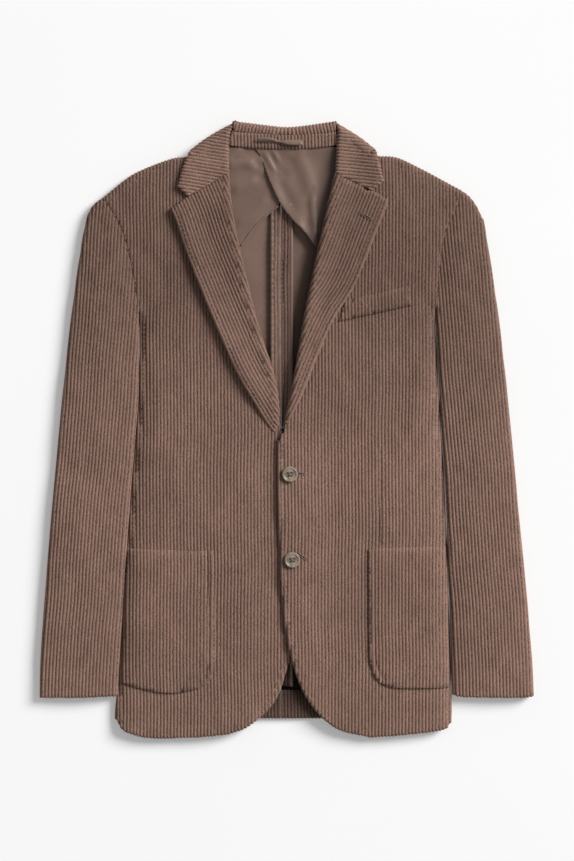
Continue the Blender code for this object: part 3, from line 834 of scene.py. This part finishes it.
def assemble(side, edges):
    """The outline and the folds of a piece from its edges: each a line, how it ends (a plain cut, a turned
    edge, or a wrap or hem that goes on underneath) and its numbers. On the left they run anticlockwise, on the
    right clockwise."""
    outline, wraps, turns = [], [], []
    for line, kind, *facts in edges if side == "left" else edges[::-1]:
        core = facts[2] if len(facts) > 2 else line
        if side == "right":
            line, core = line[::-1], core[::-1]
        if kind == "cut":
            outline.append(shifted(line, facts[0] if facts else 0.15))
            continue
        height, far = facts[:2]
        (turns if kind == "turned" else wraps).append(Fold(core, height, far))
        middle = line[len(line) // 2 : len(line) // 2 + 1]
        radius = float(abs(height(middle) - far(middle))[0]) / 2
        bend = (math.pi - 2) * radius
        past = 0.95 * radius
        if kind != "turned":
            past = (HEM_TURN if kind == "hem" else UNDER_TURN) - FLUSH + bend
        outline.append(shifted(line, FLUSH - past))
    return np.vstack(outline), wraps + turns


def turned(line, height):
    """A free edge, turned down."""
    return (line, "turned", height, above(height, -2 * ROLL))


def front(side):
    turn = TURN[side]
    height = FRONT[side]
    flank = shifted(curve(SIDE[side]), -turn * FLUSH)
    bent_flank = np.vstack([(-turn * 225, 192), flank, flank[-1] + (-turn * 8, -18)])
    shoulder = curve(SHOULDER[side])
    edges = [
        (curve(NECK[side]), "cut", 3.0),
        (shorter(shoulder[::-1], 1)[::-1], "wrap", height, back_z, shoulder),
        (curve(ARMHOLE[side])[1:], "cut", -0.35),
        (shorter(flank, 22), "wrap", height, level(BACK_Z), bent_flank),
        turned(curve(FRONT_HEM[side]), height),
        turned(curve(FRONT_EDGE[side]), height),
        (curve(BREAK[side]), "cut", 1.0),
        (curve(ROLL_LINE[side]), "cut", 2.5),
    ]
    outline, folds = assemble(side, edges)
    cloth(f"front_{side}", outline, height, folds, Grain(seed=turn), [f"back_{side}"])


def lapel(side):
    below = FRONT[side]
    edge = curve(LAPEL_EDGE[side])
    roll = curve(LAPEL_ROLL[side])

    def height(points):
        away = near(points, edge)
        along = points[:, 1]
        outer = LAPEL_RISE[side] * (1 - 0.16 * ramp(180, 260, along)) * (1 - ramp(0, 38, away))
        inner = ROLL_RISE[side] * (1 - 0.16 * ramp(210, 280, along)) * (1 - ramp(0, 30, near(points, roll)))
        step = LAPEL_STEP * ramp(-18, 46, along) + 0.1
        rise = np.hypot(outer, inner) * ramp(0, 70, along)
        return below(points) + step + rise - 0.5 * bump(away - 5.5, 1.2)

    edges = [
        (roll, "turned", height, above(height, -7)),
        (curve(GORGE[side]), "cut", 0.3),
        turned(np.array(LAPEL_TOP[side], float), height),
        turned(edge, height),
    ]
    outline, folds = assemble(side, edges)
    grain = Grain(edge, PITCH, seed=2, angle=TURN[side] * LAPEL_SLANT)
    facts = {"thickness": LAPEL_CLOTH, "node": f"facing_{side}"}
    cloth(f"lapel_{side}", outline, height, folds, grain, [f"front_{side}"], **facts)
    if side == "right":
        buttonhole("buttonhole_lapel", *LAPEL_HOLE, above(height, 0.6))


def back(side):
    turn = TURN[side]
    centre = CENTRE_X - turn * 0.3
    shoulder = shifted(curve(SHOULDER[side]), turn * (UNDER_TURN + 1))[2:]
    arm = curve(ARMHOLE[side])
    arm = arm[(arm[:, 1] > 198) & (arm[:, 1] < 284)]
    seam = curve(SIDE_SEAM[side])
    hem = np.linspace((seam[-1][0], BACK_HEM_Y), (centre, BACK_HEM_Y), 24)
    edges = [
        (np.array([(centre, 360.5), (-turn * 45, 360.5), (-turn * 58, 355)], float), "cut"),
        (shoulder[shoulder[:, 1] > 288], "cut"),
        (arm, "cut", 0.4),
        (seam, "cut", 0.2),
        (hem, "hem", back_z, level(BACK_Z + 3.4)),
        (np.array([(centre, BACK_HEM_Y), (centre, 360.5)], float), "cut", 0.0),
    ]
    outline, folds = assemble(side, edges)
    cloth(f"back_{side}", outline, back_z, folds, Grain(seed=5), [], face=-1, sides=BACK)


def side_panel(side):
    turn = TURN[side]
    flank = shifted(curve(SIDE[side]), turn * (UNDER_TURN + 2))
    flank = flank[(flank[:, 1] > -374) & (flank[:, 1] < 116)]
    outline = np.vstack([shifted(curve(SIDE_SEAM[side]), -turn * 0.2)[::-1][:-6], flank])
    cloth(f"side_{side}", outline, level(BACK_Z), [], Grain(seed=6), [], face=-1)


def sleeve(side):
    turn = TURN[side]
    outer, inner = curve(SLEEVE_OUTER[side]), shifted(curve(SLEEVE_INNER[side]), turn * FLUSH)
    rims = [outer[::3], inner[::3]]
    arm = curve(ARMHOLE[side], 12)
    seed = 7 if side == "left" else 8

    def height(points):
        away = np.minimum(*(near(points, rim) for rim in rims))
        z = FRONT_Z + 0.6 + SLEEVE_DOME * (1 - np.exp(-away / 20))
        z += ripple(points, seed, 90, 0.5) + ripple(points, seed + 10, 35, 0.2)
        z += sum(crease(points, *facts) for facts in SLEEVE_CREASES[side])
        return to_seam(z, near(points, arm), ARMHOLE_Z)

    bent_inner = np.vstack([(-turn * 155, 200), inner])
    guide = [((x + np.interp(-y, -inner[:, 1], inner[:, 0])) / 2, y) for x, y in outer[::4] if y < 130]
    guide = [(guide[0][0] + turn * 13, 300), *guide]
    grain = Grain(guide, seed=turn * 3, angle=-turn * SLEEVE_SLANT, row=ROW / 2)
    edges = [
        (shorter(outer, 1), "wrap", height, level(BACK_Z), outer),
        turned(curve(CUFF[side]), height),
        (shorter(inner, 24)[::-1], "wrap", height, level(BACK_Z), bent_inner[::-1]),
        (curve(ARMHOLE[side])[1:][::-1], "cut", -0.35),
    ]
    outline, folds = assemble(side, edges)
    cloth(f"sleeve_top_{side}", outline, height, folds, grain, [f"sleeve_under_{side}"])
    arm = curve(ARMHOLE[side])
    arm = arm[(arm[:, 1] > 190) & (arm[:, 1] < 280)]
    room = turn * (UNDER_TURN + 1)
    edges = [
        (shifted(outer, room)[4:], "cut", 0.0),
        (shifted(inner, -room)[::-1], "cut", 0.0),
        (arm[::-1], "cut"),
    ]
    outline, folds = assemble(side, edges)
    cloth(f"sleeve_under_{side}", outline, level(BACK_Z), folds, grain, [], face=-1)


def leaf_z(side):
    """A collar leaf's middle, its outer edge standing up a little."""
    edge, roll = curve(LEAF_EDGE[side]), curve(COLLAR_ROLL[side])

    def height(points):
        rise = 2.5 * (1 - ramp(0, 30, near(points, edge)))
        inner = ROLL_RISE[side] * 0.8 * (1 - ramp(0, 24, near(points, roll)))
        rise += inner * (1 - ramp(376, 397, points[:, 1]))
        return FRONT[side](points) + LEAF_STEP + rise

    return height


def leaf(side):
    """The fall's end over a shoulder, down to the gorge; its wales follow the neck round."""
    height = leaf_z(side)
    edges = [
        (curve(COLLAR_SIDE[side]), "wrap", height, level(BACK_Z + 0.2)),
        turned(curve(LEAF_EDGE[side]), height),
        turned(np.array(NOTCH[side], float), height),
        (curve(GORGE[side])[::-1], "cut", 0.0),
        (curve(COLLAR_ROLL[side]), "turned", height, above(height, -6)),
    ]
    outline, folds = assemble(side, edges)
    grain = Grain(seed=9, angle=LEAF_GRAIN[side])
    cloth(f"collar_leaf_{side}", outline, height, folds, grain, [f"front_{side}"], node="collar_fall", **FALL)


def collar():
    """The fall under the back's neck and over the top as a band, with the stand inside."""
    under = level(BACK_Z + 0.2)

    def band_z(points):
        return BAND_Z - 0.9 * (1 - ramp(379, 387, points[:, 1]))

    band = Fold(curve(COLLAR_TOP)[::-1], under, band_z, reach=4)
    seam = curve(STAND_SEAM)
    inset = {side: shifted(curve(COLLAR_SIDE[side]), TURN[side] * 11)[3:-2] for side in TURN}
    outline = [band.pattern(seam), inset["right"], curve(FALL_EDGE)[::-1][3:-3], inset["left"][::-1]]
    cloth("collar_fall", np.vstack(outline), under, [band], Grain(seed=9), [], face=-1, **FALL)

    def stand_height(points):
        low = LINING_Z + COLLAR_LIFT + 1.7
        return low + (BAND_Z - 0.6 - low) * ramp(350, 381, points[:, 1])

    stand = np.vstack([curve(NECK_SEAM), seam[::-1]])
    cloth("collar_stand", stand, stand_height, [], Grain(seed=10), [], sides=COLLAR)


def lining(side):
    """Half of the back's lining; its free edge stands off what is below."""
    free = curve(LINING_EDGE[side], 3)
    outline = np.vstack([free, LINING_REST[side]])

    def height(points):
        z = LINING_Z + lift(points) + 0.8 * (side == "right")
        z += LINING_CURL[side] * (1 - ramp(0, 15, near(points, free))) * (1 - ramp(325, 352, points[:, 1]))
        z += ramp(348, 362, points[:, 1])
        z += sum(crease(points, *facts) for facts in LINING_CREASES[side])
        return z + ripple(points, 21 + len(side), 42, 0.3)

    grain = Grain(pitch=8.0, seed=0, row=ROW / 2)
    smooth = {"thickness": SATIN, "wale": 0.0, "sides": ("lining", "lining")}
    cloth(f"lining_{side}", outline, height, [], grain, ["back_left", "back_right"], **smooth)
    if side == "left":
        path = shifted(free, 0.6)
        tube("lining_hem", path, height(path) + 0.5, 1.1, "lining", twist=3.4)


def allowances():
    """The centre back seam's allowances, pressed open, with their bound edges standing up a little."""
    bottom, top = ALLOWANCE_ENDS
    for side, outer in ALLOWANCE_EDGE.items():
        inner = CENTRE_X - TURN[side] * 0.3

        def height(points, inner=inner, outer=outer):
            curl = 2.8 - 1.8 * ramp(235, 275, points[:, 1])
            return ALLOWANCE_Z + lift(points) + curl * np.abs(points[:, 0] - inner) / abs(outer - inner)

        low, high = sorted((inner, outer))
        box = np.array([(low, bottom), (high, bottom), (high, top), (low, top)], float)
        facts = {"thickness": ALLOWANCE_CLOTH, "wale": ALLOWANCE_WALE, "sides": BACK}
        cloth(f"back_allowance_{side}", box, height, [], Grain(seed=11), [f"back_{side}"], **facts)
        ys = np.arange(bottom, top + 1, 2.0)
        path = np.column_stack([np.full(len(ys), outer), ys])
        twist = {"left": 9.0, "right": 4.2}[side]
        tube(f"binding_{side}", path, height(path) + 0.3, BOUND_EDGE, "binding", 0.6, twist)


def path_round(corners, step=5.0):
    """Points along the straight edges of a patch."""
    found = []
    for a, b in zip(corners, [*corners[1:], corners[0]]):
        found.append(np.linspace(a, b, max(2, round(math.dist(a, b) / step)), endpoint=False))
    return np.vstack(found)


def pocket(side):
    """A patch pocket, topstitched inside its edge."""
    top, inner, bottom = (curve(part[side], 5) for part in (POCKET_TOP, POCKET_INNER, POCKET_BOTTOM))
    sewn = np.vstack([bottom[:-1], inner] if side == "left" else [inner[:-1], bottom])
    outline = np.vstack([top, sewn[:-1]] if side == "left" else [top[:-1], sewn])
    ring = np.vstack([outline, outline[0]])

    def height(points):
        away = near(points, ring)
        z = FRONT[side](points) + POCKET_STEP + 0.8 * ramp(0, 22, away)
        return z - 1.0 * bump(near(points, sewn) - 7.5, 1.7) - 1.2 * (1 - ramp(0, 2.2, away))

    cloth(f"pocket_{side}", outline, height, [], Grain(seed=TURN[side]), [f"front_{side}"])


def welt():
    outline = path_round(WELT)
    ring = np.vstack([outline, outline[0]])

    def height(points):
        away = near(points, ring)
        return FRONT["right"](points) + 2.6 - 1.4 * (1 - ramp(0, 2.5, away)) - 0.5 * bump(away - 4, 1.2)

    cloth("breast_welt", outline, height, [], Grain(seed=-1), ["front_right"])


def hanger():
    middle = curve(HANGER, 2)
    half = 3.2 - 2.0 * bump(middle[:, :1] + 11, 9)
    way = sideways(middle)
    outline = np.vstack([middle - way * half, (middle + way * half)[::-1]])

    def height(points):
        tilt = 0.9 - 1.5 * ramp(-20, -2, points[:, 0])
        return LINING_Z + COLLAR_LIFT + 7 + tilt * (points[:, 1] - 371)

    smooth = {"thickness": TAPE, "wale": 0.0, "sides": ("tape", "tape")}
    cloth("hanger_loop", outline, height, [], Grain(pitch=6.0, seed=0), ["lining_left"], **smooth)


def button(name, spot):
    """A horn button: raised rim, dished face, four holes and a cross of thread."""
    shape = bmesh.new()
    rail = [shape.verts.new((x * MM, 0, z * MM)) for x, z in BUTTON_PROFILE]
    edges = [shape.edges.new(pair) for pair in zip(rail, rail[1:])]
    turn = {"cent": (0, 0, 0), "axis": (0, 0, 1), "angle": math.tau, "steps": 64}
    bmesh.ops.spin(shape, geom=rail + edges, use_merge=True, **turn)
    bmesh.ops.remove_doubles(shape, verts=shape.verts, dist=1e-6)
    bmesh.ops.recalc_face_normals(shape, faces=shape.faces)
    mesh = bpy.data.meshes.new(name)
    shape.to_mesh(mesh)
    shape.free()
    mesh.materials.append(MATERIALS["button"])
    mesh.shade_smooth()
    made = bpy.data.objects.new(name, mesh)
    bpy.context.scene.collection.objects.link(made)
    base = FRONT["right"](np.array([spot], float))[0] + CORD / 2 + WALE
    made.location = (spot[0] * MM, spot[1] * MM, base * MM)
    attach(made, "root")
    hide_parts(name)
    centre = np.array(spot, float)
    face = base + BUTTON_FACE
    angles = np.radians([50, 140, 230, 320])
    corners = [centre + np.array([math.cos(a), math.sin(a)]) * HOLE_RING for a in angles]
    # The four holes are flat dark marks on the face: painted shade, not openings.
    for i, corner in enumerate(corners):
        dot = corner + np.linspace(-HOLE_RADIUS, HOLE_RADIUS, 7)[:, None] * [1, 0]
        tube(f"{name}_hole_{i}", dot, np.full(7, face + 0.05), HOLE_RADIUS, "hole", squash=0.1)
    for i, (a, b) in enumerate(((corners[0], corners[2]), (corners[1], corners[3]))):
        share = np.linspace(0, 1, 9)
        path = a + (b - a) * share[:, None]
        z = face + 0.1 + 0.5 * np.sin(math.pi * share) + 0.2 * i
        tube(f"{name}_thread_{i}", path, z, 0.45, "thread")


def buttonhole(name, start, end, height):
    """A worked slit: a dark gap with thread whipped round it."""
    start, end = np.array(start, float), np.array(end, float)
    share = np.linspace(0, 1, 12)
    middle = start + (end - start) * share[:, None]
    z = height(middle) + CORD / 2 + WALE * 0.8
    # The gap is a dark tube on the cloth: painted shade.
    tube(f"{name}_slit", middle, z - 0.1, 0.6, "hole", squash=0.5)
    way = sideways(middle)
    for i, turn in enumerate((-1, 1)):
        bow = middle + way * turn * (0.9 + 0.3 * np.sin(math.pi * share))[:, None]
        tube(f"{name}_edge_{i}", bow, z + 0.25, 0.55, "thread", twist=1.4)


for each_side in ("left", "right"):
    front(each_side)
    lapel(each_side)
    back(each_side)
    side_panel(each_side)
    sleeve(each_side)
    leaf(each_side)
    lining(each_side)
    pocket(each_side)
collar()
allowances()
welt()
hanger()
for button_name, button_spot in BUTTONS.items():
    button(f"button_{button_name}", button_spot)
for hole_name, (hole_start, hole_end) in BUTTONHOLES.items():
    buttonhole(f"buttonhole_{hole_name}", hole_start, hole_end, FRONT["right"])


# ---- camera, lights and floor


# Lengths here are in metres, but for the sensor's height
FLOOR_HALF = 6.0
KEY_PLACE = (19.8, 12.3, 14.9)
KEY_SIZE = 13.4
KEY_POWER = 10400
FILL = 0.28
CAMERA_PLACE = (-0.00065, -0.00065, 4.0)
VIEW_HEIGHT = 1.11069
SENSOR = 24  # in millimetres


def studio():
    """One large soft light from the upper right, an even white fill, a pale floor and the camera overhead."""
    half = FLOOR_HALF / MM
    floor_corners = [(-half, -half, 0), (half, -half, 0), (half, half, 0), (-half, half, 0)]
    floor = new_object("floor", floor_corners, [(0, 1, 2, 3)], [floor_material()])
    scene = bpy.context.scene
    world = bpy.data.worlds.new("studio")
    world.use_nodes = True
    world.node_tree.nodes["Background"].inputs["Color"].default_value = (1, 1, 1, 1)
    world.node_tree.nodes["Background"].inputs["Strength"].default_value = FILL
    scene.world = world
    lamp = bpy.data.lights.new("key", "AREA")
    lamp.shape = "DISK"
    lamp.size = KEY_SIZE
    lamp.energy = KEY_POWER
    key = bpy.data.objects.new("key", lamp)
    key.location = KEY_PLACE
    key.rotation_euler = (-Vector(KEY_PLACE)).to_track_quat("-Z", "Y").to_euler()
    scene.collection.objects.link(key)
    lens = bpy.data.cameras.new("camera")
    lens.sensor_fit = "VERTICAL"
    lens.sensor_height = SENSOR
    lens.lens = SENSOR * CAMERA_PLACE[2] / VIEW_HEIGHT
    camera = bpy.data.objects.new("camera", lens)
    camera.location = CAMERA_PLACE
    scene.collection.objects.link(camera)
    scene.camera = camera
    scene.view_settings.view_transform = "Standard"


studio()
